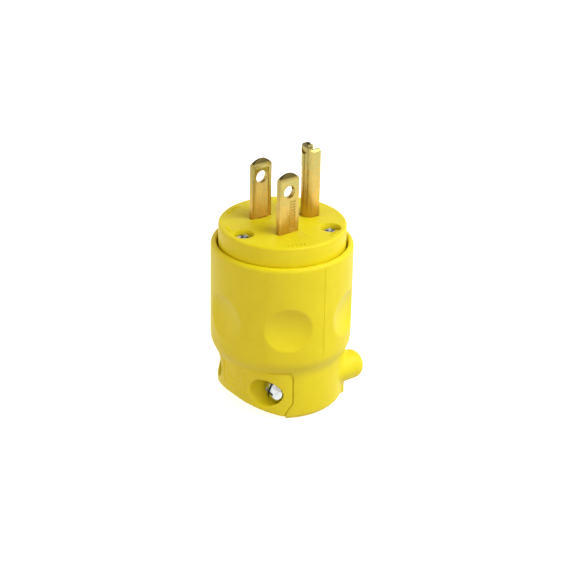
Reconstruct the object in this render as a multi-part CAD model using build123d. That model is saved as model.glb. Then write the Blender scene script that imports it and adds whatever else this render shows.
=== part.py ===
from build123d import *
import math
import os

# Rewireable grounding cord plug, 15 A 125 V blade pattern.
# Millimetres. The origin is on the body's axis at its cord end; the blades point along +Z,
# the two power blades stand side by side along X, and the ground pin is on the +Y side.

# --- blades and ground pin (standard pattern) ---
blade_width = 6.35
blade_thickness = 1.52
blade_spacing = 12.7
blade_line_y = -3.1
blade_reach = 17.5
blade_side_reach = 15.7
blade_hole_radius = 1.8
blade_hole_height = 12.1
blade_tip_bevel = 0.5
ground_offset = 11.9
ground_width = 4.76
ground_depth = 4.25
ground_wall = 1.1
ground_arm_reach = 20.0
ground_reach = 21.8
ground_notch_drop = 1.4
ground_lead_in = 0.45
nose_width = 3.3
nose_thickness = 1.3
nose_root = 4.0

# --- outer shell ---
shell_height = 48.0
upper_radius = 20.0
shoulder_round = 1.8
foot_draft = 0.1
lower_height = 15.5
foot_round = 2.0
rim_round = 1.1
rim_wall = 1.65
wall = 3.0
floor_thickness = 3.0
mouth_depth = 4.0
dimple_count = 6
dimple_size = 13.6
dimple_depth = 1.7
dimple_drop = 18.6
dimple_first_angle = 30.0
wing_spare = 1.2
wing_inset = 3.8
wing_round = 0.8

# --- face cover and terminal carrier ---
cover_projection = 5.4
cover_edge_round = 0.5
cover_skirt = 1.45
mouth_gap = 0.5
carrier_drop = 17.0
carrier_gap = 0.2
slot_clearance = 0.06

# --- screws ---
thread_radius = 1.75
thread_clearance = 0.05
pass_clearance = 0.25
seat_gap = 0.05
head_dome_share = 0.55
shank_point = 0.5
cross_width = 0.75
cross_depth = 1.0
cross_core_share = 0.5
cross_core_reach = 0.4
face_screw_inset = 4.15
face_screw_angles = (-87.0, 38.5, 141.5)
face_head_radius = 2.7
face_head_height = 1.9
face_cross_length = 3.5
face_recess_gap = 0.25
face_recess_depth = 2.7
face_tip_height = 3.4
face_tip_room = 1.5
pillar_radius = 3.0
washer_radius = 2.7
washer_thickness = 0.8

# --- terminals ---
terminal_rise = 5.5
tail_rise = 1.4
pocket_rise = 10.5
pocket_side_gap = 0.4
plate_width = 7.6
plate_height = 8.2
plate_thickness = 1.2
plate_gap = 0.1
terminal_head_radius = 3.5
terminal_head_height = 1.8
terminal_cross_length = 3.85
terminal_screw_length = 6.6
terminal_tip_room = 0.6
ground_tail_width = 6.0

# --- cord clamp ---
cord_radius = 8.0
jaw_travel = 6.5
shelf_y = 1.5
jaw_stop_gap = 0.2
jaw_gap = 0.2
jaw_bottom = 0.5
jaw_side_wall = 1.2
jaw_foot_inset = 1.6
jaw_taper_height = 5.5
jaw_inset = 1.9
jaw_flattening = 2.0
jaw_edge_round = 0.6
jaw_groove_depth = 0.6
jaw_groove_width = 1.5
jaw_groove_heights = (2.9, 6.5, 10.1, 13.6)
clamp_screw_wall = 3.2
clamp_screw_z = 8.3
clamp_seat_depth = 7.3
clamp_head_radius = 3.7
clamp_head_height = 2.3
clamp_cross_length = 4.1
clamp_head_gap = 0.2
clamp_tip_room = 0.9
boss_radius = 4.3
boss_end_wall = 1.6
boss_round = 3.2
nut_width = 6.35
nut_thickness = 2.3
nut_wall = 1.3
nut_gap = 0.1

# how far a cut runs past the face that it opens
past = 1.0

# --- worked out from the sizes above ---
lower_radius = upper_radius - shoulder_round
foot_radius = lower_radius - foot_draft
mouth_radius = upper_radius - rim_wall
cover_radius = mouth_radius - mouth_gap
cover_bottom = shell_height - mouth_depth
face_top = shell_height + cover_projection
chamber_radius = upper_radius - wall
chamber_floor = lower_height + floor_thickness
dimple_height = shell_height - dimple_drop
cover_inner_radius = cover_radius - cover_skirt
carrier_radius = cover_inner_radius - carrier_gap
carrier_top = shell_height
carrier_bottom = shell_height - carrier_drop
terminal_height = carrier_bottom + terminal_rise
tail_bottom = carrier_bottom + tail_rise
pocket_top = carrier_bottom + pocket_rise
pass_hole_radius = thread_radius + pass_clearance
tapped_radius = thread_radius + thread_clearance
face_screw_circle = cover_radius - face_screw_inset
face_recess_radius = face_head_radius + face_recess_gap
face_seat = face_top - face_recess_depth
face_tip = chamber_floor + face_tip_height
face_screw_length = face_seat - face_tip
blade_x = blade_spacing / 2
ground_y = blade_line_y + ground_offset
ground_near = ground_y - ground_depth / 2
ground_far = ground_near + ground_depth
ground_round_y = ground_near + ground_width / 2
ground_screw_tip = ground_near + ground_wall + plate_gap + plate_thickness - terminal_screw_length
clamp_screw_x = cord_radius + clamp_screw_wall
clamp_bore_radius = clamp_head_radius + clamp_head_gap
jaw_half_width = clamp_screw_x + clamp_bore_radius + jaw_side_wall
jaw_foot_half_width = jaw_half_width - jaw_foot_inset
jaw_face_reach = lower_radius - jaw_inset
jaw_face_radius = lower_radius + jaw_flattening
jaw_back_y = shelf_y - jaw_stop_gap - jaw_travel
clamp_seat_y = clamp_seat_depth - jaw_face_reach
boss_reach = upper_radius
clamp_hole_end = boss_reach - boss_end_wall
clamp_screw_length = clamp_hole_end - clamp_tip_room - jaw_travel - clamp_seat_y
wing_half_width = clamp_screw_x + wing_spare
wing_reach = lower_radius - wing_inset
nut_y = shelf_y + nut_wall
far = 4 * upper_radius


def block(x0, x1, y0, y1, z0, z1):
    """A box between two corners."""
    centre = ((x0 + x1) / 2, (y0 + y1) / 2, (z0 + z1) / 2)
    return Pos(*centre) * Box(x1 - x0, y1 - y0, z1 - z0)


def rod_z(x, y, z0, z1, radius):
    """A cylinder along Z."""
    return Pos(x, y, (z0 + z1) / 2) * Cylinder(radius, z1 - z0)


def rod_y(x, z, y0, y1, radius):
    """A cylinder along Y."""
    return Pos(x, (y0 + y1) / 2, z) * Rot(90, 0, 0) * Cylinder(radius, y1 - y0)


def polar(radius, angle):
    """The X and Y of a point at a radius and an angle in degrees."""
    return radius * math.cos(math.radians(angle)), radius * math.sin(math.radians(angle))


def cross_recess(width, length, depth):
    """A cross-shaped driver recess that opens upwards at Z = 0 and narrows with depth."""
    bar = Pos(0, 0, -depth / 2) * Box(length, width, depth)
    core = Pos(0, 0, -depth / 2) * Cone(width * cross_core_share, length * cross_core_reach, depth)
    return bar + Rot(0, 0, 90) * bar + core


def pan_screw(head_radius, head_height, shank_length, recess_length):
    """A pan-head machine screw: underside of the head at Z = 0, head above, shank below."""
    dome = head_height * head_dome_share
    head = Pos(0, 0, head_height / 2) * Cylinder(head_radius, head_height)
    head = fillet(head.edges().group_by(Axis.Z)[-1], dome)
    shank = Pos(0, 0, -shank_length / 2) * Cylinder(thread_radius, shank_length)
    shank = chamfer(shank.edges().group_by(Axis.Z)[0], shank_point)
    recess = Pos(0, 0, head_height) * cross_recess(cross_width, recess_length, cross_depth)
    return head + shank - recess


def quarter_round(start, corner, end):
    """A quarter-round arc from start to end whose tangents meet at the corner."""
    share = 1 - math.sqrt(0.5)
    middle = [c + (s - c + e - c) * share for s, c, e in zip(start, corner, end)]
    return ThreePointArc(start, tuple(middle), end)


def shell_outline():
    """Half section of the shell's outer skin, revolved about Z."""
    shoulder_top = lower_height + shoulder_round
    foot_in = (foot_radius - foot_round, 0)
    foot_out = (foot_radius, foot_round)
    waist = (lower_radius, lower_height)
    shoulder = (upper_radius, shoulder_top)
    rim_low = (upper_radius, shell_height - rim_round)
    rim_in = (upper_radius - rim_round, shell_height)
    lines = [
        Line((0, 0), foot_in),
        quarter_round(foot_in, (foot_radius, 0), foot_out),
        Line(foot_out, waist),
        quarter_round(waist, (upper_radius, lower_height), shoulder),
        Line(shoulder, rim_low),
        quarter_round(rim_low, (upper_radius, shell_height), rim_in),
        Line(rim_in, (0, shell_height)),
        Line((0, shell_height), (0, 0)),
    ]
    return revolve(Plane.XZ * make_face(lines), Axis.Z)


def window_prism(gap, z0, z1, y0, y1):
    """The clamp's window or jaw outline in X and Z, run along Y; gap widens it all round."""
    half = jaw_half_width + gap
    foot = jaw_foot_half_width + gap
    right = [(foot, z0), (half, jaw_taper_height), (half, z1)]
    left = [(-x, z) for x, z in reversed(right)]
    face = Plane.XZ * make_face(Polyline(*right, *left, close=True))
    return Pos(0, y1, 0) * extrude(face, y1 - y0)


def dimple():
    """A shallow thumb scoop with a round edge, as deep as its bulging form reaches in."""
    half = dimple_size / 2
    rise_v = half * half / (2 * dimple_depth)
    spare = dimple_depth - half * half / (2 * upper_radius)
    rise_h = half * half / (2 * spare)
    centre = upper_radius - dimple_depth + rise_h
    return Pos(centre, 0, dimple_height) * Torus(rise_h - rise_v, rise_v)


def clamp_boss(side):
    """A domed boss on the shell's far side that houses a clamp screw's end."""
    x = side * clamp_screw_x
    boss = rod_y(x, clamp_screw_z, cord_radius, boss_reach, boss_radius)
    return fillet(boss.edges().group_by(Axis.Y)[-1], boss_round)


def make_body_shell():
    """Thick vinyl shell: mouth for the cover, wiring chamber, cord saddle and clamp window."""
    wing = block(-wing_half_width, wing_half_width, 0, wing_reach, 0, lower_height + foot_round)
    wing = fillet(wing.edges().filter_by(Axis.Z).group_by(Axis.Y)[-1], wing_round)
    shell = shell_outline() + wing
    for side in (-1, 1):
        shell += clamp_boss(side)
    for index in range(dimple_count):
        shell -= Rot(0, 0, dimple_first_angle + index * 360 / dimple_count) * dimple()
    chamber = rod_z(0, 0, chamber_floor, shell_height + past, chamber_radius)
    for angle in face_screw_angles:
        x, y = polar(face_screw_circle, angle)
        chamber -= rod_z(x, y, chamber_floor, carrier_bottom - carrier_gap, pillar_radius)
    shell -= chamber
    shell -= rod_z(0, 0, cover_bottom, shell_height + past, mouth_radius)
    shell -= window_prism(jaw_gap, 0, lower_height, -far, shelf_y)
    shell -= block(-jaw_foot_half_width - jaw_gap, jaw_foot_half_width + jaw_gap, -far, shelf_y,
                   -past, 0)
    shell -= rod_z(0, 0, -past, chamber_floor + past, cord_radius)
    for angle in face_screw_angles:
        x, y = polar(face_screw_circle, angle)
        shell -= rod_z(x, y, face_tip - face_tip_room, carrier_bottom, tapped_radius)
    half_nut = nut_width / 2 + nut_gap
    for side in (-1, 1):
        x = side * clamp_screw_x
        shell -= rod_y(x, clamp_screw_z, 0, clamp_hole_end, pass_hole_radius)
        shell -= block(x - half_nut, x + half_nut, nut_y - nut_gap, nut_y + nut_thickness + nut_gap,
                       clamp_screw_z - half_nut, chamber_floor)
    return shell


def make_jaw():
    """Sliding half of the cord clamp, with a grooved saddle and two counterbored holes."""
    jaw = window_prism(0, jaw_bottom, lower_height - jaw_gap, -jaw_face_reach, jaw_back_y)
    face_y = jaw_face_radius - jaw_face_reach
    outer = rod_z(0, face_y, 0, lower_height, jaw_face_radius)
    jaw = jaw & outer
    jaw = fillet(jaw.edges().filter_by(GeomType.CIRCLE).group_by(Axis.Z)[0], jaw_edge_round)
    saddle = rod_z(0, 0, -past, lower_height + past, cord_radius)
    for height in jaw_groove_heights:
        low = height - jaw_groove_width / 2
        saddle += rod_z(0, 0, low, low + jaw_groove_width, cord_radius + jaw_groove_depth)
    jaw -= saddle
    for side in (-1, 1):
        x = side * clamp_screw_x
        jaw -= rod_y(x, clamp_screw_z, -far, 0, pass_hole_radius)
        jaw -= rod_y(x, clamp_screw_z, -far, clamp_seat_y, clamp_bore_radius)
    return jaw


def make_clamp_screw(side):
    """Zinc-plated pan-head screw, head outwards on the jaw's side."""
    screw = pan_screw(clamp_head_radius, clamp_head_height, clamp_screw_length, clamp_cross_length)
    seat = clamp_seat_y - seat_gap
    return Pos(side * clamp_screw_x, seat, clamp_screw_z) * Rot(90, 0, 0) * screw


def make_clamp_nut(side):
    """Square nut held in the shell's slot."""
    x = side * clamp_screw_x
    half = nut_width / 2
    nut = block(x - half, x + half, nut_y, nut_y + nut_thickness,
                clamp_screw_z - half, clamp_screw_z + half)
    return nut - rod_y(x, clamp_screw_z, nut_y - past, nut_y + nut_thickness + past, tapped_radius)


def make_face_cover():
    """Front cap: thick face wall with blade slots and screw recesses, and a skirt in the shell's mouth."""
    cover = rod_z(0, 0, cover_bottom, face_top, cover_radius)
    cover = fillet(cover.edges().group_by(Axis.Z)[-1], cover_edge_round)
    cover -= rod_z(0, 0, cover_bottom - past, carrier_top, cover_inner_radius)
    for side in (-1, 1):
        cover -= blade_slot(side)
    cover -= ground_slot()
    for angle in face_screw_angles:
        x, y = polar(face_screw_circle, angle)
        cover -= rod_z(x, y, cover_bottom, face_top + past, pass_hole_radius)
        cover -= rod_z(x, y, face_seat, face_top + past, face_recess_radius)
    return cover


def blade_slot(side):
    """Slot for a power blade, right through the cover and carrier."""
    half_x = blade_thickness / 2 + slot_clearance
    half_y = blade_width / 2 + slot_clearance
    x = side * blade_x
    return block(x - half_x, x + half_x, blade_line_y - half_y, blade_line_y + half_y,
                 terminal_height, face_top + past)


def ground_section(spare):
    """Plan of the ground pin: a half-round side towards the blades and a straight side away from them."""
    half = ground_width / 2 + spare
    back = ground_far + spare
    lines = [
        Line((half, ground_round_y), (half, back)),
        Line((half, back), (-half, back)),
        Line((-half, back), (-half, ground_round_y)),
        ThreePointArc((-half, ground_round_y), (0, ground_round_y - half), (half, ground_round_y)),
    ]
    return make_face(lines)


def ground_slot():
    """Slot for the ground pin's channel, through the cover and the top of the carrier."""
    depth = face_top + past - pocket_top
    return Pos(0, 0, pocket_top) * extrude(ground_section(slot_clearance), depth)


def make_carrier():
    """Rigid insulator behind the cover that holds the blades and has an open pocket for each terminal."""
    carrier = rod_z(0, 0, carrier_bottom, carrier_top, carrier_radius)
    tail_inner = blade_x - blade_thickness / 2 - slot_clearance
    pocket_half = plate_width / 2 + pocket_side_gap
    for side in (-1, 1):
        carrier -= blade_slot(side)
        inner = side * tail_inner
        outer = side * far
        x0, x1 = sorted((inner, outer))
        carrier -= block(x0, x1, blade_line_y - pocket_half, blade_line_y + pocket_half,
                         carrier_bottom - past, pocket_top)
    cross_hole = Cylinder(pass_hole_radius, 2 * tail_inner + past)
    carrier -= Pos(0, blade_line_y, terminal_height) * Rot(0, 90, 0) * cross_hole
    carrier -= ground_slot()
    ground_inner = ground_near - 2 * slot_clearance
    carrier -= block(-pocket_half, pocket_half, ground_inner, far, carrier_bottom - past, pocket_top)
    blind_end = ground_screw_tip - terminal_tip_room
    carrier -= rod_y(0, terminal_height, blind_end, ground_inner + past, pass_hole_radius)
    for angle in face_screw_angles:
        x, y = polar(face_screw_circle, angle)
        carrier -= rod_z(x, y, carrier_bottom - past, carrier_top + past, pass_hole_radius)
        carrier -= rod_z(x, y, carrier_top - washer_thickness - 2 * seat_gap, carrier_top + past,
                         washer_radius + carrier_gap)
    return carrier


def make_blade(side):
    """Flat brass blade with a domed, bevelled tip, a round hole and a tapped tail for its terminal."""
    x = side * blade_x
    half = blade_width / 2
    rise = blade_reach - blade_side_reach
    top = face_top + blade_side_reach
    lines = [
        Line((-half, tail_bottom), (half, tail_bottom)),
        Line((half, tail_bottom), (half, top)),
        ThreePointArc((half, top), (0, top + rise), (-half, top)),
        Line((-half, top), (-half, tail_bottom)),
    ]
    face = Plane.YZ * make_face(lines)
    outline = Pos(-blade_thickness / 2, 0, 0) * extrude(face, blade_thickness)
    thick = blade_thickness / 2
    tip = thick - blade_tip_bevel
    right = [(thick, tail_bottom), (thick, top), (tip, top + rise)]
    left = [(-y, z) for y, z in reversed(right)]
    profile = Plane.XZ * make_face(Polyline(*right, *left, close=True))
    bevelled = extrude(profile, blade_width, both=True)
    blade = Pos(x, blade_line_y, 0) * (outline & bevelled)
    pierce = Rot(0, 90, 0) * Cylinder(blade_hole_radius, 2 * blade_thickness)
    tapped = Rot(0, 90, 0) * Cylinder(tapped_radius, 2 * blade_thickness)
    blade -= Pos(x, blade_line_y, face_top + blade_hole_height) * pierce
    blade -= Pos(x, blade_line_y, terminal_height) * tapped
    return blade


def make_ground_pin():
    """U-section brass pin, round side towards the blades, with a rounded nose and a flat tapped tail."""
    arm_top = face_top + ground_arm_reach
    channel = Pos(0, 0, pocket_top) * extrude(ground_section(0), arm_top - pocket_top)
    channel = chamfer(channel.edges().group_by(Axis.Z)[-1], ground_lead_in)
    inner_half = ground_width / 2 - ground_wall
    hollow = block(-inner_half, inner_half, ground_round_y, ground_far + past,
                   pocket_top - past, arm_top + past)
    hollow += rod_z(0, ground_round_y, pocket_top - past, arm_top + past, inner_half)
    nose_half = nose_width / 2
    notch = rod_y(0, arm_top, ground_near - past, ground_round_y, nose_half)
    channel = channel - hollow - notch
    nose_y0 = ground_near + ground_wall / 2
    nose_y1 = nose_y0 + nose_thickness
    centre_z = face_top + ground_reach - nose_half
    nose = block(-nose_half, nose_half, nose_y0, nose_y1, arm_top - ground_notch_drop - nose_root, centre_z)
    nose += rod_y(0, centre_z, nose_y0, nose_y1, nose_half)
    tail_half = ground_tail_width / 2
    tail_face = ground_near + ground_wall
    tail = block(-tail_half, tail_half, ground_near, tail_face, tail_bottom, pocket_top)
    pin = channel + nose + tail
    return pin - rod_y(0, terminal_height, ground_near - past, tail_face + past, tapped_radius)


def make_terminal_plate(face_distance):
    """Pressure plate that traps a wire against a blade's tail; it faces +X before it is turned."""
    x0 = face_distance + plate_gap
    half = plate_width / 2
    low = terminal_height - plate_height / 2
    plate = block(x0, x0 + plate_thickness, -half, half, low, low + plate_height)
    hole = Pos(x0, 0, terminal_height) * Rot(0, 90, 0) * Cylinder(tapped_radius, 4 * plate_thickness)
    return plate - hole


def make_terminal_screw(face_distance):
    """Terminal screw with its head outwards along +X, before it is turned to its side."""
    seat = face_distance + plate_gap + plate_thickness + seat_gap
    screw = pan_screw(terminal_head_radius, terminal_head_height, terminal_screw_length,
                      terminal_cross_length)
    return Pos(seat, 0, terminal_height) * Rot(0, 90, 0) * screw


def make_face_screw(angle):
    """Long screw that holds the cover and carrier in the shell."""
    x, y = polar(face_screw_circle, angle)
    screw = pan_screw(face_head_radius, face_head_height, face_screw_length, face_cross_length)
    return Pos(x, y, face_seat + seat_gap) * screw


def make_screw_washer(angle):
    """Fibre washer pressed on a face screw behind the cover, so that the screw stays with it."""
    x, y = polar(face_screw_circle, angle)
    z1 = carrier_top - seat_gap
    washer = rod_z(x, y, z1 - washer_thickness, z1, washer_radius)
    return washer - rod_z(x, y, z1 - 2 * washer_thickness, z1 + past, tapped_radius)


os.makedirs("parts", exist_ok=True)

power_face = blade_x + blade_thickness / 2
ground_face = ground_near + ground_wall
line_side = Pos(0, blade_line_y, 0)
neutral_side = Pos(0, blade_line_y, 0) * Rot(0, 0, 180)
ground_side = Rot(0, 0, 90)

parts = {
    "body_shell": make_body_shell(),
    "cord_clamp_jaw": make_jaw(),
    "clamp_screw_1": make_clamp_screw(1),
    "clamp_screw_2": make_clamp_screw(-1),
    "clamp_nut_1": make_clamp_nut(1),
    "clamp_nut_2": make_clamp_nut(-1),
    "face_cover": make_face_cover(),
    "terminal_carrier": make_carrier(),
    "line_blade": make_blade(1),
    "neutral_blade": make_blade(-1),
    "ground_pin": make_ground_pin(),
    "line_pressure_plate": line_side * make_terminal_plate(power_face),
    "neutral_pressure_plate": neutral_side * make_terminal_plate(power_face),
    "ground_pressure_plate": ground_side * make_terminal_plate(ground_face),
    "line_terminal_screw": line_side * make_terminal_screw(power_face),
    "neutral_terminal_screw": neutral_side * make_terminal_screw(power_face),
    "ground_terminal_screw": ground_side * make_terminal_screw(ground_face),
}
for number, angle in enumerate(face_screw_angles, 1):
    parts[f"face_screw_{number}"] = make_face_screw(angle)
    parts[f"screw_washer_{number}"] = make_screw_washer(angle)

for name, solid in parts.items():
    export_step(solid, f"parts/{name}.step")
    print(name, round(solid.volume, 2))
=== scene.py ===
import bpy
import math
from mathutils import Matrix, Vector


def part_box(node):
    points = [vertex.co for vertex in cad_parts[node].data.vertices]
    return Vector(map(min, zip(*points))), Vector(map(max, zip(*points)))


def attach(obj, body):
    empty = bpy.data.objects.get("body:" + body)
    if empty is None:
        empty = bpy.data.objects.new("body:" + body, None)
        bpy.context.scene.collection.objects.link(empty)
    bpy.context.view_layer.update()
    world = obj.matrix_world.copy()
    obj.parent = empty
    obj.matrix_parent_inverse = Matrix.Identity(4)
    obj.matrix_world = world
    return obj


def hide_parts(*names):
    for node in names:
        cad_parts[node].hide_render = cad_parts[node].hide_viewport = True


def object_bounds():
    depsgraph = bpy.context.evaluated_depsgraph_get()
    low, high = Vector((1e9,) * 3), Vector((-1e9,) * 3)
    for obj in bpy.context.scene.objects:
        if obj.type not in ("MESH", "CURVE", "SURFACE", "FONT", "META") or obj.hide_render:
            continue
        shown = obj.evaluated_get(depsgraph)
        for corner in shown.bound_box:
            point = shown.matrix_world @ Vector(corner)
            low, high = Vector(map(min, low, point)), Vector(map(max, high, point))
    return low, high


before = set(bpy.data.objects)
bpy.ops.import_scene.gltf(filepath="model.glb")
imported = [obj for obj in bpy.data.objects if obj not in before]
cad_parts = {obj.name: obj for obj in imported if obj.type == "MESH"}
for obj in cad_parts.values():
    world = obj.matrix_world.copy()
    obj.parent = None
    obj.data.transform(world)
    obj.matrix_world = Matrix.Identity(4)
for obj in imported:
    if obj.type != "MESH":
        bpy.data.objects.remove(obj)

# A yellow vinyl cord plug. Pieces are shaped in millimetres and brought to metres when they are done.
cadLow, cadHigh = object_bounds()
upright = (0, 0, 1)
sideways = (0, math.pi / 2, 0)   # turns a rod from Z to X
forward = (math.pi / 2, 0, 0)    # turns a rod from Z to -Y
past = 1        # how far a cutting tool runs past the surface
through = 20    # length of a tool that goes right through a piece


def boxOf(node):
    low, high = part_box(node)
    return Vector(low) * 1000, Vector(high) * 1000


shellHigh = boxOf("body_shell")[1]
coverLow, coverHigh = boxOf("face_cover")
faceTop = coverHigh.z


def only(obj):
    bpy.ops.object.select_all(action="DESELECT")
    obj.select_set(True)
    bpy.context.view_layer.objects.active = obj
    return obj


def pick(obj, test):
    # in edit mode, leaves selected only the vertices that pass the test
    only(obj)
    bpy.ops.object.mode_set(mode="EDIT")
    bpy.ops.mesh.select_all(action="DESELECT")
    bpy.ops.object.mode_set(mode="OBJECT")
    for vertex in obj.data.vertices:
        vertex.select = test(vertex.co)
    bpy.ops.object.mode_set(mode="EDIT")


def leaveEdit():
    bpy.ops.object.mode_set(mode="OBJECT")


def edit(obj):
    # in edit mode, with all of it selected
    only(obj)
    bpy.ops.object.mode_set(mode="EDIT")
    bpy.ops.mesh.select_all(action="SELECT")


def resize(obj, test, value, centre):
    # scales the vertices that pass the test
    pick(obj, test)
    bpy.ops.transform.resize(value=value, center_override=centre)
    leaveEdit()


def cut(point, normal, **side):
    # cuts with a plane, drops one side and fills the opening
    bpy.ops.mesh.select_all(action="SELECT")
    bpy.ops.mesh.bisect(plane_co=point, plane_no=normal, use_fill=True, **side)


def faceOut(doubles=0.001):
    # merges doubled points, then turns the faces outwards
    bpy.ops.mesh.select_all(action="SELECT")
    bpy.ops.mesh.remove_doubles(threshold=doubles)
    bpy.ops.mesh.normals_make_consistent(inside=False)
    leaveEdit()


def applied(name):
    obj = bpy.context.object
    obj.name = name
    bpy.ops.object.transform_apply(location=True, rotation=True, scale=True)
    return obj


def addBlock(name, low, high):
    bpy.ops.object.select_all(action="DESELECT")
    low, high = Vector(low), Vector(high)
    bpy.ops.mesh.primitive_cube_add(size=1, location=(low + high) / 2, scale=high - low)
    return applied(name)


def addRod(name, radius, start, length, turn=(0, 0, 0), steps=64):
    # start is the middle of one end; the rod runs along its turned Z
    bpy.ops.object.select_all(action="DESELECT")
    direction = Matrix.Rotation(turn[1], 3, "Y") @ Matrix.Rotation(turn[0], 3, "X") @ Vector(upright)
    bpy.ops.mesh.primitive_cylinder_add(vertices=steps, radius=radius, depth=length, rotation=turn,
                                        location=Vector(start) + direction * length / 2)
    return applied(name)


def useModifier(obj, kind, **settings):
    only(obj)
    modifier = obj.modifiers.new(kind.title(), kind)
    for key, value in settings.items():
        setattr(modifier, key, value)
    bpy.ops.object.modifier_apply(modifier=modifier.name)
    return obj


def combine(obj, tool, operation="DIFFERENCE"):
    useModifier(obj, "BOOLEAN", object=tool, operation=operation, solver="EXACT")
    bpy.data.objects.remove(tool)
    return obj


def soften(obj, voxel):
    # one even skin over the joined shape, as soft as a moulding
    useModifier(obj, "REMESH", mode="VOXEL", voxel_size=voxel)
    useModifier(obj, "SMOOTH", factor=0.5, iterations=2)
    return obj


def bevelEdges(obj, width, segments=2, angle=35):
    useModifier(obj, "BEVEL", width=width, segments=segments, limit_method="ANGLE",
                angle_limit=math.radians(angle), miter_outer="MITER_ARC", use_clamp_overlap=True)
    return obj


def arc(centre, radius, start, end, steps):
    # points of an arc in a half section, from one angle to another, in degrees
    turns = [math.radians(start + (end - start) * i / steps) for i in range(steps + 1)]
    return [(centre[0] + radius * math.cos(t), centre[1] + radius * math.sin(t)) for t in turns]


def drawPath(name, path, drop=0):
    # one point pulled along a path of radius and height; it stays in edit mode
    bpy.ops.object.select_all(action="DESELECT")
    bpy.ops.mesh.primitive_plane_add(size=1, location=(path[0][0], 0, path[0][1] - drop))
    obj = applied(name)
    edit(obj)
    bpy.ops.mesh.merge(type="CENTER")
    for before, after in zip(path, path[1:]):
        step = (after[0] - before[0], 0, after[1] - before[1])
        bpy.ops.mesh.extrude_region_move(TRANSFORM_OT_translate={"value": step})
    return obj


def lathe(name, outline, steps, closed=False):
    # draws the half section, then spins it about Z
    obj = drawPath(name, outline + outline[:1] if closed else outline)
    bpy.ops.mesh.select_all(action="SELECT")
    bpy.ops.mesh.spin(steps=steps, angle=2 * math.pi, center=(0, 0, 0), axis=upright)
    faceOut(0.0005)
    return obj


def prism(name, outline, low, high):
    # lays an outline out flat, fills it and pulls it up
    bpy.ops.object.select_all(action="DESELECT")
    bpy.ops.mesh.primitive_circle_add(vertices=len(outline), radius=1, fill_type="NGON")
    obj = applied(name)
    for vertex, (x, y) in zip(obj.data.vertices, outline):
        vertex.co = (x, y, low)
    pick(obj, lambda co: True)
    bpy.ops.mesh.extrude_region_move(TRANSFORM_OT_translate={"value": (0, 0, high - low)})
    bpy.ops.mesh.select_all(action="SELECT")
    bpy.ops.mesh.normals_make_consistent(inside=False)
    leaveEdit()
    return obj


def place(obj, move=(0, 0, 0), turn=(0, 0, 0)):
    only(obj)
    obj.rotation_euler = turn
    obj.location = move
    bpy.ops.object.transform_apply(location=True, rotation=True, scale=True)
    return obj


def copyOf(obj, name, move=(0, 0, 0), turn=(0, 0, 0)):
    twin = obj.copy()
    twin.data = obj.data.copy()
    twin.name = name
    bpy.context.collection.objects.link(twin)
    return place(twin, move, turn)


def finishPiece(obj, name, body, nodes, material, angle=35):
    only(obj)
    obj.name = name
    obj.data.name = name
    obj.scale = (0.001, 0.001, 0.001)   # millimetres to metres
    bpy.ops.object.transform_apply(location=True, rotation=True, scale=True)
    bpy.ops.object.shade_smooth_by_angle(angle=math.radians(angle))
    obj.data.materials.clear()
    obj.data.materials.append(material)
    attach(obj, body)
    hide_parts(*nodes)
    print("made", name, len(obj.data.polygons), "faces")
    return obj


def hexColour(text):
    # sRGB hex to the linear colour that a shader reads
    parts = [int(text[i:i + 2], 16) / 255 for i in (0, 2, 4)]
    return [p / 12.92 if p <= 0.04045 else ((p + 0.055) / 1.055) ** 2.4 for p in parts] + [1]


def addNode(tree, kind, settings=None, links=None):
    node = tree.nodes.new(kind)
    for key, value in (settings or {}).items():
        if isinstance(key, str) and hasattr(node, key):
            setattr(node, key, value)
        else:
            node.inputs[key].default_value = value
    for key, socket in (links or {}).items():
        tree.links.new(socket, node.inputs[key])
    return node


def perMetre(millimetres):
    # noise scale for a feature of this size
    return 1000 / millimetres


def startMaterial(name, **settings):
    material = bpy.data.materials.new(name)
    material.use_nodes = True
    tree = material.node_tree
    shader = tree.nodes["Principled BSDF"]
    for key, value in settings.items():
        shader.inputs[key.replace("_", " ")].default_value = value
    where = addNode(tree, "ShaderNodeTexCoord").outputs["Object"]
    return material, tree, shader, where


def noise(tree, where, size, detail=2, stretch=None):
    if stretch:
        where = addNode(tree, "ShaderNodeMapping", {"Scale": stretch}, {"Vector": where}).outputs[0]
    node = addNode(tree, "ShaderNodeTexNoise", {"Scale": perMetre(size), "Detail": detail},
                   {"Vector": where})
    return node.outputs["Fac"]


def ranged(tree, value, low, high, fromLow=0.3, fromHigh=0.7):
    node = addNode(tree, "ShaderNodeMapRange",
                   {"From Min": fromLow, "From Max": fromHigh, "To Min": low, "To Max": high},
                   {"Value": value})
    return node.outputs[0]


def blendColours(tree, factor, first, second):
    node = addNode(tree, "ShaderNodeMix", {"data_type": "RGBA"})
    for key, value in ((6, first), (7, second)):   # the sockets of a mix of two colours
        if isinstance(value, str):
            node.inputs[key].default_value = hexColour(value)
        else:
            tree.links.new(value, node.inputs[key])
    tree.links.new(factor, node.inputs[0])
    return node.outputs[2]


def bumped(tree, shader, height, distance, strength=1.0):
    # distance is in millimetres
    bump = addNode(tree, "ShaderNodeBump", {"Strength": strength, "Distance": distance / 1000},
                   {"Height": height})
    tree.links.new(bump.outputs[0], shader.inputs["Normal"])


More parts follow.
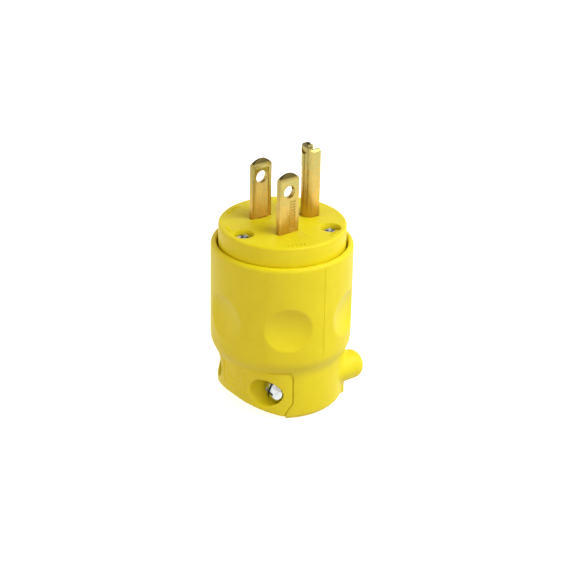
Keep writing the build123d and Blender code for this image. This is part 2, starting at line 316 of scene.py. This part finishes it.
def makeVinyl():
    # soft PVC moulding: satin skin with a fine spark-eroded grain, and light that sinks in a little and warms
    look = {"tint": 11, "mottle": 2.4, "grain": 0.28, "depth": 0.012}
    material, tree, shader, where = startMaterial(
        "mouldedVinyl", IOR=1.53, Specular_IOR_Level=0.3, Subsurface_Weight=0.12, Subsurface_Scale=0.0016,
        Subsurface_Radius=(1.0, 0.62, 0.12))
    broad = ranged(tree, noise(tree, where, look["tint"]), 0, 1)
    fine = ranged(tree, noise(tree, where, look["mottle"], 4), 0, 0.35)
    colour = blendColours(tree, broad, "f2e012", "ecd80e")
    colour = blendColours(tree, fine, colour, "f6e81c")
    tree.links.new(colour, shader.inputs["Base Color"])
    grain = noise(tree, where, look["grain"], 3)
    tree.links.new(ranged(tree, grain, 0.42, 0.58), shader.inputs["Roughness"])
    bumped(tree, shader, grain, look["depth"], 0.5)
    return material


def makeBrass(name, reach):
    # cold-rolled yellow brass, stamped and unplated: drawn lines along the blade, warmer near the face,
    # and a painted dark reflection on the sheared and coined tip, standing in for the dark ceiling it faces
    # tip and its fade set how far down from the end the painted dark reflection reaches
    look = {"lines": 0.09, "tarnish": 1.8, "spots": 0.5, "tip": 1.5, "paintedReflectionFade": 0.4, "warmShare": 0.85,
            "depth": 0.004}
    material, tree, shader, where = startMaterial(name, Metallic=1.0)
    height = addNode(tree, "ShaderNodeSeparateXYZ", None, {"Vector": where}).outputs["Z"]
    low, high = faceTop / 1000, (faceTop + reach) / 1000
    warmth = ranged(tree, height, 1, 0, low, low + (high - low) * look["warmShare"])
    patches = ranged(tree, noise(tree, where, look["tarnish"], 3), -0.2, 0.25)
    amount = addNode(tree, "ShaderNodeMath", {"operation": "ADD", "use_clamp": True},
                     {0: warmth, 1: patches}).outputs[0]
    colour = blendColours(tree, amount, "a89c5c", "c8a048")
    spots = ranged(tree, noise(tree, where, look["spots"], 2), 0, 0.3, 0.6, 0.75)
    colour = blendColours(tree, spots, colour, "8a6a2c")
    # painted dark reflection: the tip's colour is darkened towards dark brown, as the dark ceiling would show
    # in it
    paintedReflectionFoot = high - look["tip"] / 1000
    tip = ranged(tree, height, 0, 0.85, paintedReflectionFoot, paintedReflectionFoot + look["paintedReflectionFade"] / 1000)
    tree.links.new(blendColours(tree, tip, colour, "4a4228"), shader.inputs["Base Color"])
    lines = noise(tree, where, look["lines"], 2, (1, 1, 0.03))
    tree.links.new(ranged(tree, lines, 0.22, 0.4), shader.inputs["Roughness"])
    bumped(tree, shader, lines, look["depth"], 0.5)
    return material


def makePlated(name, base, second, roughness):
    # plated screw stock: a bright skin with slight clouding and very fine tumbling marks
    look = {"clouds": 1.2, "marks": 0.12, "depth": 0.003}
    material, tree, shader, where = startMaterial(name, Metallic=1.0)
    clouds = ranged(tree, noise(tree, where, look["clouds"], 3), 0, 1)
    tree.links.new(blendColours(tree, clouds, base, second), shader.inputs["Base Color"])
    marks = noise(tree, where, look["marks"], 3)
    tree.links.new(ranged(tree, marks, roughness, roughness + 0.12), shader.inputs["Roughness"])
    bumped(tree, shader, marks, look["depth"], 0.4)
    return material


def makeNylon():
    # moulded nylon 6: off-white, slightly see-through, with flow clouding
    look = {"clouds": 5, "grain": 0.35, "depth": 0.01}
    material, tree, shader, where = startMaterial(
        "mouldedNylon", IOR=1.53, Subsurface_Weight=0.2, Subsurface_Scale=0.002,
        Subsurface_Radius=(1.0, 0.9, 0.7))
    clouds = ranged(tree, noise(tree, where, look["clouds"], 3), 0, 1)
    tree.links.new(blendColours(tree, clouds, "e6e0cc", "dcd4bc"), shader.inputs["Base Color"])
    grain = noise(tree, where, look["grain"], 3)
    tree.links.new(ranged(tree, grain, 0.38, 0.52), shader.inputs["Roughness"])
    bumped(tree, shader, grain, look["depth"], 0.4)
    return material


def makeFibre():
    # vulcanised fibre: red-brown pressed paper with short fibres showing
    look = {"fibres": 0.3, "depth": 0.02}
    material, tree, shader, where = startMaterial("vulcanisedFibre", IOR=1.5)
    fibres = noise(tree, where, look["fibres"], 4, (1, 0.25, 1))
    tree.links.new(blendColours(tree, ranged(tree, fibres, 0, 1), "7c2a1c", "9a4030"),
                   shader.inputs["Base Color"])
    tree.links.new(ranged(tree, fibres, 0.6, 0.8), shader.inputs["Roughness"])
    bumped(tree, shader, fibres, look["depth"], 0.5)
    return material


vinyl = makeVinyl()
bladeBrass = makeBrass("rolledBrass", 17.5)   # with how far it stands out of the face, in millimetres
pinBrass = makeBrass("drawnBrass", 21.8)
zincPlate = makePlated("brightZincPlate", "c4c8cc", "aeb4ba", 0.07)
nickelPlate = makePlated("nickelPlate", "d9d2c2", "c9c2b2", 0.16)
turnedBrass = makePlated("turnedBrass", "d6b25a", "c39c44", 0.2)
greenPlate = makePlated("greenDyedZinc", "2f8a4c", "226e3a", 0.25)
nylon = makeNylon()
fibre = makeFibre()
print("materials made")


# sizes are in millimetres
shellSize = {"lowerRadius": 18.2, "footRadius": 18.1, "round": 7.0, "fillet": 7.0, "roundHeight": 19.9,
             "footRound": 2.0, "rimRound": 1.1, "mouthRadius": 18.35, "mouthRound": 0.25, "mouthDepth": 4.0,
             "chamberRadius": 17.0, "chamberFloor": 18.5, "boreRadius": 8.0, "steps": 192, "voxel": 0.41,
             "seamDepth": 0.12, "seamHalf": 0.11}
dimpleSize = {"count": 6, "first": 30, "height": 29.4, "ring": 28.9, "tube": 13.6, "reach": 60.8}
clampSize = {"screwX": 11.2, "screwZ": 8.3, "bossRadius": 4.3, "bossDome": 3.2, "wingHalf": 12.4,
             "wingReach": 14.3, "wingTop": 16.2, "wingRound": 0.5, "shelfY": 1.5, "holeEnd": 18.4,
             "holeRadius": 2.0, "nutY": 2.7, "nutEnd": 5.2, "nutHalf": 3.275}
windowSize = {"half": 16.3, "footHalf": 14.7, "taperTop": 5.5, "top": 15.5, "gap": 0.3}
pillarSize = {"radius": 3.0, "top": 30.8, "holeRadius": 1.8, "holeFoot": 20.4}


def faceScrewPlace(number):
    low, high = boxOf(f"face_screw_{number}")
    return (low.x + high.x) / 2, (low.y + high.y) / 2


def addWindow(name, gap, foot, top, front, back):
    # the clamp's outline: straight sides above, drawn in towards the foot
    half = windowSize["half"] + gap
    slope = (windowSize["half"] - windowSize["footHalf"]) / windowSize["taperTop"]
    footHalf = half - slope * (windowSize["taperTop"] - foot)
    upper = addBlock(name, (-half, front, windowSize["taperTop"]), (half, back, top))
    lower = addBlock("windowFoot", (-half, front, foot), (half, back, windowSize["taperTop"]))
    resize(lower, lambda co: co.z < foot + 0.01, (footHalf / half, 1, 1), (0, (front + back) / 2, foot))
    return combine(upper, lower, "UNION")


def makeShell():
    s, c = shellSize, clampSize
    outer = shellHigh.x
    top = shellHigh.z
    inner = s["boreRadius"] - past   # the bore is cut after the joining
    outline = [(inner, 0), (s["footRadius"] - s["footRound"], 0)]
    outline += arc((s["footRadius"] - s["footRound"], s["footRound"]), s["footRound"], -90, 0, 8)
    # the shoulder: a fillet out of the lower wall runs into the round under the upper one
    between = s["fillet"] + s["round"]
    across = s["lowerRadius"] + s["fillet"] - outer + s["round"]
    rise = math.sqrt(between ** 2 - across ** 2)
    lean = math.degrees(math.asin(across / between))
    outline += arc((s["lowerRadius"] + s["fillet"], s["roundHeight"] - rise), s["fillet"], 180, 90 + lean, 8)
    outline += arc((outer - s["round"], s["roundHeight"]), s["round"], lean - 90, 0, 10)
    outline += arc((outer - s["rimRound"], top - s["rimRound"]), s["rimRound"], 0, 90, 8)
    outline += arc((s["mouthRadius"] + s["mouthRound"], top - s["mouthRound"]), s["mouthRound"], 90, 180, 3)
    outline += [(s["mouthRadius"], top - s["mouthDepth"]), (s["chamberRadius"], top - s["mouthDepth"]),
                (s["chamberRadius"], s["chamberFloor"]), (inner, s["chamberFloor"])]
    shell = lathe("shell", outline, s["steps"], closed=True)
    wing = addBlock("wing", (-c["wingHalf"], 0, 0), (c["wingHalf"], c["wingReach"], c["wingTop"]))
    bevelEdges(wing, c["wingRound"], 4)
    combine(shell, wing, "UNION")
    reach = shellHigh.y - s["boreRadius"]
    dome = arc((c["bossRadius"] - c["bossDome"], reach - c["bossDome"]), c["bossDome"], 0, 90, 10)
    boss = lathe("boss", [(0, 0), (c["bossRadius"], 0)] + dome[:-1] + [(0, reach)], 72)
    for side in (-1, 1):
        lug = copyOf(boss, "lug", (side * c["screwX"], s["boreRadius"], c["screwZ"]), (-math.pi / 2, 0, 0))
        combine(shell, lug, "UNION")
    bpy.data.objects.remove(boss)
    for number in (1, 2, 3):
        x, y = faceScrewPlace(number)
        foot = s["chamberFloor"] - past
        pillar = addRod("pillar", pillarSize["radius"], (x, y, foot), pillarSize["top"] - foot)
        combine(shell, pillar, "UNION")
    combine(shell, addRod("bore", s["boreRadius"], (0, 0, -past), s["chamberFloor"] + 2 * past, steps=96))
    for index in range(dimpleSize["count"]):
        turn = math.radians(dimpleSize["first"] + index * 360 / dimpleSize["count"])
        reach = dimpleSize["reach"]
        centre = (reach * math.cos(turn), reach * math.sin(turn), dimpleSize["height"])
        bpy.ops.object.select_all(action="DESELECT")
        bpy.ops.mesh.primitive_torus_add(major_segments=256, minor_segments=128,
                                         major_radius=dimpleSize["ring"], minor_radius=dimpleSize["tube"],
                                         location=centre, rotation=(0, 0, turn))
        combine(shell, applied("scoop"))
    for number in (1, 2, 3):
        x, y = faceScrewPlace(number)
        hole = addRod("hole", pillarSize["holeRadius"], (x, y, pillarSize["holeFoot"]), pillarSize["top"],
                      steps=32)
        combine(shell, hole)
    for side in (-1, 1):
        x, z, half = side * c["screwX"], c["screwZ"], c["nutHalf"]
        combine(shell, addRod("hole", c["holeRadius"], (x, c["holeEnd"], z), c["holeEnd"], forward, 32))
        slot = addBlock("slot", (x - half, c["nutY"], z - half),
                        (x + half, c["nutEnd"], s["chamberFloor"] + past))
        combine(shell, slot)
    soften(shell, s["voxel"])
    combine(shell, addWindow("window", windowSize["gap"], -past, windowSize["top"], -outer - 2 * past,
                             c["shelfY"]))
    for side in (-1, 1):
        near, far = sorted((side * (outer - s["seamDepth"]), side * (outer + past)))
        seam = addBlock("seam", (near, -s["seamHalf"], s["roundHeight"]),
                        (far, s["seamHalf"], top - s["rimRound"]))
        combine(shell, seam)
    return finishPiece(shell, "bodyShell", "shell", ["body_shell"], vinyl, 50)


makeShell()


jawSize = {"foot": 0.5, "top": 15.1, "back": -5.2, "reach": 16.3, "half": 17.6, "fullness": 2.5, "seat": -9.0,
           "leanFrom": (0, -9.5, 1.3), "lean": 0.32, "boreRadius": 3.9, "flare": 1.12, "holeRadius": 2.0,
           "mouthReach": 9, "grooveDepth": 0.6, "grooveWidth": 1.5, "grooves": (2.9, 6.5, 10.1, 13.6),
           "steps": 120, "voxel": 0.26}
panelSize = {"low": (-5.2, 6.7), "high": (5.9, 12.6), "line": 0.55, "depth": 0.45, "ribs": (8.6, 10.2),
             "ribInset": 2.2, "ribWidth": 0.6}


def jawPlan(name, inset, low, high):
    # the face bows out, nearly round, with a flatter middle
    power = 2 / jawSize["fullness"]
    outline = [(jawSize["half"], jawSize["back"])]
    for index in range(1, jawSize["steps"]):
        turn = math.pi * index / jawSize["steps"]
        across, forth = math.cos(turn), math.sin(turn)
        x = math.copysign(abs(across) ** power, across) * (jawSize["half"] - inset)
        y = -(forth ** power) * (jawSize["reach"] - inset)
        outline.append((x, min(y, jawSize["back"] - 0.01 * forth)))
    outline.append((-jawSize["half"], jawSize["back"]))
    return prism(name, outline, low, high)


def makeJaw():
    j = jawSize
    jaw = jawPlan("jaw", 0, j["foot"], j["top"])
    # the underside slopes up towards the front
    edit(jaw)
    cut(j["leanFrom"], (0, j["lean"], 1), clear_inner=True)
    leaveEdit()
    saddle = addRod("saddle", shellSize["boreRadius"], (0, 0, -past), j["top"] + 4 * past, steps=128)
    combine(jaw, saddle)
    for height in j["grooves"]:
        radius = shellSize["boreRadius"] + j["grooveDepth"]
        combine(jaw, addRod("groove", radius, (0, 0, height - j["grooveWidth"] / 2), j["grooveWidth"],
                            steps=128))
    for side in (-1, 1):
        x, z = side * clampSize["screwX"], clampSize["screwZ"]
        combine(jaw, addRod("hole", j["holeRadius"], (x, 0, z), through, forward, 32))
        mouth = addRod("counterbore", j["boreRadius"], (x, j["seat"], z), j["mouthReach"], forward, 64)
        resize(mouth, lambda co: co.y < j["seat"] - 1, (j["flare"], 1, j["flare"]), (x, j["seat"], z))
        combine(jaw, mouth)
    # a framed panel with plain ribs: an engraved line round it, and short engraved bars inside
    p = panelSize
    (x0, z0), (x1, z1) = p["low"], p["high"]
    strips = [(x0, x1, z0, z0 + p["line"]), (x0, x1, z1 - p["line"], z1),
              (x0, x0 + p["line"], z0, z1), (x1 - p["line"], x1, z0, z1)]
    strips += [(x0 + p["ribInset"], x1 - p["ribInset"], z, z + p["ribWidth"]) for z in p["ribs"]]
    inner = jawPlan("inner", p["depth"], -past, through)
    for a, b, c, d in strips:
        strip = addBlock("strip", (a, -through, c), (b, j["seat"], d))
        useModifier(strip, "BOOLEAN", object=inner, operation="DIFFERENCE", solver="EXACT")
        combine(jaw, strip)
    bpy.data.objects.remove(inner)
    soften(jaw, j["voxel"])
    combine(jaw, addWindow("outline", 0, -past, j["top"] - 0.01, -through, j["back"] + past), "INTERSECT")
    return finishPiece(jaw, "cordClampJaw", "clamp_jaw", ["cord_clamp_jaw"], vinyl, 50)


makeJaw()


coverSize = {"edge": 0.7, "skirtTop": 48.0, "skirtRadius": 16.6, "slotGap": 0.12, "recessRadius": 2.95,
             "recessDepth": 2.7, "recessTool": 6, "holeRadius": 2.0, "edgeRound": 0.16, "steps": 192,
             "reliefFoot": 1.6, "reliefTop": 1.5, "reliefReach": 0.45, "reliefDepth": 1.2}
tickSize = {"radius": 15.9, "width": 0.35, "length": 1.0, "height": 0.22, "edge": 0.06, "spacing": 4.2,
            "fans": ((196, 6), (250, 5), (330, 5), (20, 4))}


def makeCover():
    s = coverSize
    radius = coverHigh.x
    outline = [(s["skirtRadius"], coverLow.z), (radius, coverLow.z)]
    outline += arc((radius - s["edge"], faceTop - s["edge"]), s["edge"], 0, 90, 6)
    outline += [(0, faceTop), (0, s["skirtTop"]), (s["skirtRadius"], s["skirtTop"])]
    cover = lathe("cover", outline, s["steps"], closed=True)
    for node in ("line_blade", "neutral_blade"):
        low, high = boxOf(node)
        gap = Vector((s["slotGap"], s["slotGap"], 0))
        slot = addBlock("slot", Vector((low.x, low.y, coverLow.z)) - gap,
                        Vector((high.x, high.y, faceTop + 2 * past)) + gap)
        combine(cover, slot)
    low, high = boxOf("neutral_blade")
    # a shallow notch beside one blade
    relief = addBlock("relief", (high.x - past, low.y + s["reliefFoot"], faceTop - s["reliefDepth"]),
                      (high.x + s["reliefReach"], high.y - s["reliefTop"], faceTop + past))
    combine(cover, relief)
    combine(cover, groundSolid("groundSlot", s["slotGap"], coverLow.z, faceTop + 2 * past))
    for number in (1, 2, 3):
        x, y = faceScrewPlace(number)
        combine(cover, addRod("hole", s["holeRadius"], (x, y, coverLow.z - past), through, steps=32))
        floor = (x, y, faceTop - s["recessDepth"])
        combine(cover, addRod("recess", s["recessRadius"], floor, s["recessTool"], steps=64))
    bevelEdges(cover, s["edgeRound"], 3, 40)
    # plain raised ticks round the face
    t = tickSize
    for start, count in t["fans"]:
        for index in range(count):
            turn = math.radians(start + index * t["spacing"])
            bpy.ops.object.select_all(action="DESELECT")
            bpy.ops.mesh.primitive_cube_add(size=1, scale=(t["length"], t["width"], t["height"] * 2))
            tick = applied("tick")
            bevelEdges(tick, t["edge"])
            where = (t["radius"] * math.cos(turn), t["radius"] * math.sin(turn), faceTop)
            place(tick, where, (0, 0, turn))
            only(cover)
            tick.select_set(True)
            bpy.ops.object.join()
    return finishPiece(cover, "faceCover", "interior", ["face_cover"], vinyl)


groundSize = {"half": 2.38, "wall": 1.1, "armReach": 20.0, "shoulder": 0.6, "shoulderSlope": 0.9,
              "hidden": 2.5, "notch": 1.35, "noseHalf": 1.65, "noseThick": 1.3, "noseRoot": 5.5,
              "noseIn": 0.55, "edge": 0.14, "tailHalf": 3.0, "toolReach": 6}
bladeSize = {"hole": 1.8, "holeHeight": 12.1, "shoulder": 15.7, "tipHalf": 0.26, "edge": 0.14,
             "tapped": 1.8, "tapHeight": 36.5, "toolReach": 4, "coinDepth": 0.2}
fluteSize = {"foot": 1.5, "pitch": 0.82, "count": 10, "near": 0.2, "far": 2.0, "share": 0.45}
sunkSize = {"near": 0.55, "far": 0.9, "foot": 1.1, "top": 14.6}


def groundSolid(name, spare, foot, top):
    # half-round on the side of the blades, straight on the other
    low, high = boxOf("ground_pin")
    half = groundSize["half"] + spare
    middle = low.y + groundSize["half"]
    body = addBlock(name, (-half, middle, foot), (half, high.y + spare, top))
    return combine(body, addRod("round", half, (0, middle, foot), top - foot, steps=64), "UNION")


def makeGroundPin():
    g = groundSize
    low, high = boxOf("ground_pin")
    middle = low.y + g["half"]
    foot = coverLow.z - g["hidden"]
    armTop = faceTop + g["armReach"]
    pin = groundSolid("pin", 0, foot, armTop)
    inner = g["half"] - g["wall"]
    hollow = addBlock("hollow", (-inner, middle, foot - past), (inner, high.y + past, armTop + past))
    bend = addRod("round", inner, (0, middle, foot - past), armTop - foot + 2 * past, steps=48)
    combine(hollow, bend, "UNION")
    combine(pin, hollow)
    combine(pin, addRod("notch", g["notch"], (0, middle, armTop), g["toolReach"], forward, 48))
    # the arms' tops slope down to their outer sides
    for side in (-1, 1):
        edit(pin)
        cut((side * g["half"], 0, armTop - g["shoulder"]), (side, 0, g["shoulderSlope"]), clear_outer=True)
        leaveEdit()
    # a rounded nose leans over the opening
    noseTop = high.z - g["noseHalf"]
    noseBack = low.y + g["noseIn"]
    nose = addBlock("nose", (-g["noseHalf"], noseBack, armTop - g["noseRoot"]),
                    (g["noseHalf"], noseBack + g["noseThick"], noseTop))
    tip = addRod("tip", g["noseHalf"], (0, noseBack + g["noseThick"], noseTop), g["noseThick"], forward, 48)
    combine(nose, tip, "UNION")
    combine(pin, nose, "UNION")
    tail = addBlock("tail", (-g["tailHalf"], low.y, low.z), (g["tailHalf"], low.y + g["wall"], foot + past))
    combine(pin, tail, "UNION")
    tapStart = (0, low.y + bladeSize["toolReach"], bladeSize["tapHeight"])
    combine(pin, addRod("tap", bladeSize["tapped"], tapStart, g["toolReach"], forward, 32))
    bevelEdges(pin, g["edge"], 2, 40)
    return finishPiece(pin, "groundPin", "interior", ["ground_pin"], pinBrass)


def makeBlade(node, name, coined):
    b = bladeSize
    low, high = boxOf(node)
    centreX, centreY = (low.x + high.x) / 2, (low.y + high.y) / 2
    half, thick = (high.y - low.y) / 2, (high.x - low.x) / 2
    rise = faceTop + b["shoulder"]
    crown = high.z - rise
    radius = (half ** 2 + crown ** 2) / (2 * crown)
    # the domed end is a disc cut at the shoulder, then drawn down to the tail
    blade = addRod(name, radius, (low.x, centreY, high.z - radius), thick * 2, sideways, 96)
    edit(blade)
    cut((0, 0, rise), upright, clear_inner=True)
    bpy.ops.mesh.extrude_region_move(TRANSFORM_OT_translate={"value": (0, 0, low.z - rise)})
    lean = (thick - b["tipHalf"]) / crown   # both faces draw in towards the tip
    for side in (-1, 1):
        cut((centreX + side * thick, centreY, rise), (side, 0, lean), clear_outer=True)
    faceOut()
    holes = ((b["hole"], faceTop + b["holeHeight"], 64), (b["tapped"], b["tapHeight"], 32))
    for bore, height, steps in holes:
        hole = addRod("hole", bore, (low.x - past, centreY, height), b["toolReach"], sideways, steps)
        combine(blade, hole)
    for x0, x1, y0, y1, z0, z1 in coined(low, high):
        combine(blade, addBlock("coin", (x0, y0, z0), (x1, y1, z1)))
    bevelEdges(blade, b["edge"], 2, 40)
    return finishPiece(blade, name, "interior", [node], bladeBrass)


def fluteMarks(low, high):
    # short bars coined across one half of the face
    f = fluteSize
    middle = (low.y + high.y) / 2
    marks = []
    for index in range(f["count"]):
        z = faceTop + f["foot"] + index * f["pitch"]
        marks.append((high.x - bladeSize["coinDepth"], high.x + past, middle + f["near"], middle + f["far"],
                      z, z + f["pitch"] * f["share"]))
    return marks


def sunkPanel(low, high):
    # a long shallow panel coined into the face below the hole
    s = sunkSize
    return [(high.x - bladeSize["coinDepth"], high.x + past, low.y + s["near"], high.y - s["far"],
             faceTop + s["foot"], faceTop + s["top"])]


makeCover()
makeBlade("line_blade", "lineBlade", fluteMarks)
makeBlade("neutral_blade", "neutralBlade", sunkPanel)
makeGroundPin()


screwSize = {"pitch": 0.794, "threadDepth": 0.3, "threadRadius": 1.74, "fullness": 0.85, "crossWidth": 1.0,
             "crestFoot": 0.42, "crestTop": 0.56, "crossDepth": 1.5, "crossDraw": (0.4, 0.6, 1),
             "slotWidth": 0.85, "slotDepth": 1.1, "neck": 0.3, "edge": 0.15}
clampScrewSize = {"seat": 2.3, "height": 2.9, "cross": 1.25, "turns": (0.5, -0.35)}
faceScrewSize = {"height": 1.9, "cross": 1.4, "skirt": 0.55, "turns": (0.4, 1.1, 0.2)}
terminalScrewSize = {"height": 1.8, "cross": 1.2}


def makeThread(length):
    # one turn's profile carried up by the screw modifier, with flat ends
    s = screwSize
    minor, major, pitch = s["threadRadius"] - s["threadDepth"], s["threadRadius"], s["pitch"]
    profile = [(minor, 0), (major, pitch * s["crestFoot"]), (major, pitch * s["crestTop"]), (minor, pitch)]
    thread = drawPath("thread", profile, length + pitch)
    leaveEdit()
    turns = math.ceil(length / pitch) + 2
    useModifier(thread, "SCREW", angle=2 * math.pi, screw_offset=pitch, iterations=turns, steps=24,
                render_steps=24, use_merge_vertices=True, merge_threshold=0.001)
    edit(thread)
    bpy.ops.mesh.remove_doubles(threshold=0.001)
    cut((0, 0, -length), upright, clear_inner=True)
    cut((0, 0, s["neck"]), upright, clear_outer=True)   # the top ends inside the head
    bpy.ops.mesh.select_all(action="SELECT")
    bpy.ops.mesh.normals_make_consistent(inside=False)
    leaveEdit()
    return thread


def makeScrew(name, headRadius, headHeight, length, crossLength, slotted, skirtShare=0.3):
    # underside of the head at Z = 0, head above and a right-hand thread below
    s = screwSize
    skirt = headHeight * skirtShare
    turns = [math.radians(90 * i / 16) for i in range(16)]
    dome = [(headRadius * math.cos(t) ** s["fullness"], skirt + (headHeight - skirt) * math.sin(t))
            for t in turns]
    rim = [(0, 0), (headRadius - s["edge"], 0), (headRadius, s["edge"])]
    head = lathe(name, rim + dome + [(0, headHeight)], 96)
    tools = []
    for turn in (0, math.pi / 2):
        bar = addBlock("bar", (-crossLength / 2, -s["crossWidth"] / 2, headHeight - s["crossDepth"]),
                       (crossLength / 2, s["crossWidth"] / 2, headHeight + past))
        resize(bar, lambda co: co.z < headHeight, s["crossDraw"], (0, 0, headHeight - s["crossDepth"]))
        tools.append(place(bar, turn=(0, 0, turn + math.pi / 4 * slotted)))
    if slotted:
        slot = addBlock("slot", (-headRadius - past, -s["slotWidth"] / 2, headHeight - s["slotDepth"]),
                        (headRadius + past, s["slotWidth"] / 2, headHeight + 1.2 * past))
        tools.append(place(slot, turn=(0, 0, math.pi / 4 + 0.001)))   # a hair off the cross, for the joining
    driver = tools.pop()
    for tool in tools:
        combine(driver, tool, "UNION")
    combine(head, driver)
    thread = makeThread(length)
    only(head)
    thread.select_set(True)
    bpy.ops.object.join()
    return head


def clampScrews():
    s = clampScrewSize
    low, high = boxOf("clamp_screw_1")
    radius, seat = (high.x - low.x) / 2, s["seat"]
    master = makeScrew("master", radius, s["height"], high.y - low.y - seat, radius * s["cross"], True)
    for number, side, turn in zip((1, 2), ("right", "left"), s["turns"]):
        low, high = boxOf(f"clamp_screw_{number}")
        where = ((low.x + high.x) / 2, low.y + seat, (low.z + high.z) / 2)
        spun = copyOf(master, "spun", turn=(0, 0, turn))
        screw = copyOf(spun, "screw", where, forward)
        bpy.data.objects.remove(spun)
        finishPiece(screw, f"clampScrew{number}", f"clamp_screw_{side}", [f"clamp_screw_{number}"], zincPlate)
    bpy.data.objects.remove(master)


def faceScrews():
    s = faceScrewSize
    low, high = boxOf("face_screw_1")
    radius, height = (high.x - low.x) / 2, s["height"]
    length, cross = high.z - low.z - height, radius * s["cross"]
    master = makeScrew("master", radius, height, length, cross, False, s["skirt"])
    for number, turn in zip((1, 2, 3), s["turns"]):
        low, high = boxOf(f"face_screw_{number}")
        where = ((low.x + high.x) / 2, (low.y + high.y) / 2, high.z - height)
        screw = copyOf(master, "screw", where, (0, 0, turn))
        finishPiece(screw, f"faceScrew{number}", f"face_screw_{number}", [f"face_screw_{number}"], zincPlate)
    bpy.data.objects.remove(master)


def terminalScrews():
    low, high = boxOf("line_terminal_screw")
    radius, height = (high.z - low.z) / 2, terminalScrewSize["height"]
    cross = radius * terminalScrewSize["cross"]
    master = makeScrew("master", radius, height, high.x - low.x - height, cross, True)
    looks = (("line", turnedBrass, "brass_screw", (0, math.pi / 2, 0)),
             ("neutral", nickelPlate, "nickel_screw", (0, -math.pi / 2, 0)),
             ("ground", greenPlate, "green_screw", (-math.pi / 2, 0, 0)))
    for side, material, slot, turn in looks:
        low, high = boxOf(f"{side}_terminal_screw")
        middle = (low + high) / 2
        seats = {"line": (high.x - height, middle.y, middle.z),
                 "neutral": (low.x + height, middle.y, middle.z),
                 "ground": (middle.x, high.y - height, middle.z)}
        screw = copyOf(master, "screw", seats[side], turn)
        finishPiece(screw, f"{side}TerminalScrew", f"{side}_screw", [f"{side}_terminal_screw"], material)
    bpy.data.objects.remove(master)


clampScrews()
faceScrews()
terminalScrews()
print("screws made")


# these keep their CAD shape and take only a finish
kept = {"terminal_carrier": nylon, "clamp_nut_1": zincPlate, "clamp_nut_2": zincPlate,
        "line_pressure_plate": zincPlate, "neutral_pressure_plate": zincPlate,
        "ground_pressure_plate": zincPlate, "screw_washer_1": fibre, "screw_washer_2": fibre,
        "screw_washer_3": fibre}
for node, material in kept.items():
    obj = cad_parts[node]
    for slot in obj.material_slots:
        slot.material = material


# in metres, but for the paper's clouding, in millimetres; a light has power, width, direction, distance, tint
studio = {"floor": 3.0, "paper": 40, "world": 1.25, "glow": 0.75,
          "sky": ((0.0, "8c8478"), (0.49, "8c8478"), (0.5, "f8ecdc"), (0.74, "f6eadc"), (0.86, "80766c"),
                  (1.0, "504a44")),
          "key": (4.3, 0.5, (0.53, 0.37, 0.77), 0.8, "f3ffff"),
          "fill": (0.25, 0.6, (-0.2, -1.0, 0.5), 0.9, "ffffff")}
view = {"azimuth": -36.84, "elevation": 26.46, "roll": 1.20, "distance": 0.5202, "lens": 115.93,
        "sensor": 36, "clip": (0.01, 20), "aim": (0.00088, 0.00117, 0.03327)}


def addLight(name, energy, width, direction, distance, tint):
    bpy.ops.object.select_all(action="DESELECT")
    where = Vector(direction).normalized() * distance
    bpy.ops.object.light_add(type="AREA", location=where)
    light = bpy.context.object
    light.name = name
    light.data.energy = energy
    light.data.shape = "RECTANGLE"
    light.data.size = light.data.size_y = width
    light.data.color = hexColour(tint)[:3]
    light.rotation_euler = where.to_track_quat("Z", "Y").to_euler()


def makeStudio():
    bpy.ops.object.select_all(action="DESELECT")
    bpy.ops.mesh.primitive_plane_add(size=studio["floor"], location=(0, 0, cadLow.z))
    floor = applied("floor")
    material, tree, shader, where = startMaterial("paleFloor", Roughness=0.7)
    paper = ranged(tree, noise(tree, where, studio["paper"], 2), 0, 1)
    tree.links.new(blendColours(tree, paper, "fbfbfa", "f9f9f8"), shader.inputs["Base Color"])
    shader.inputs["Emission Color"].default_value = hexColour("ffffff")
    shader.inputs["Emission Strength"].default_value = studio["glow"]
    floor.data.materials.append(material)
    floor.visible_diffuse = False   # its white stays out of the body's shade
    world = bpy.data.worlds.new("studio")
    bpy.context.scene.world = world
    world.use_nodes = True
    # a soft sky: bright walls all round, a dark ceiling, and little from below
    tree = world.node_tree
    facing = addNode(tree, "ShaderNodeTexCoord").outputs["Generated"]
    up = addNode(tree, "ShaderNodeSeparateXYZ", None, {"Vector": facing}).outputs["Z"]
    ramp = addNode(tree, "ShaderNodeValToRGB", None, {"Fac": ranged(tree, up, 0, 1, -1, 1)})
    stops = ramp.color_ramp.elements
    while len(stops) < len(studio["sky"]):
        stops.new(0.5)
    for stop, (position, tint) in zip(stops, studio["sky"]):
        stop.position = position
        stop.color = hexColour(tint)
    background = tree.nodes["Background"]
    tree.links.new(ramp.outputs["Color"], background.inputs["Color"])
    background.inputs["Strength"].default_value = studio["world"]
    addLight("key", *studio["key"])
    addLight("fill", *studio["fill"])


def makeCamera():
    azimuth, elevation = math.radians(view["azimuth"]), math.radians(view["elevation"])
    away = Vector((math.cos(azimuth) * math.cos(elevation), math.sin(azimuth) * math.cos(elevation),
                   math.sin(elevation)))
    bpy.ops.object.camera_add()
    camera = bpy.context.object
    camera.location = Vector(view["aim"]) + away * view["distance"]
    turn = Matrix.Rotation(azimuth + math.pi / 2, 3, "Z") @ Matrix.Rotation(math.pi / 2 - elevation, 3, "X")
    camera.rotation_euler = (turn @ Matrix.Rotation(math.radians(view["roll"]), 3, "Z")).to_euler()
    camera.data.lens = view["lens"]
    camera.data.sensor_width = view["sensor"]
    camera.data.clip_start, camera.data.clip_end = view["clip"]
    bpy.context.scene.camera = camera


makeStudio()
makeCamera()
bpy.context.scene.view_settings.view_transform = "Standard"
print("studio made")
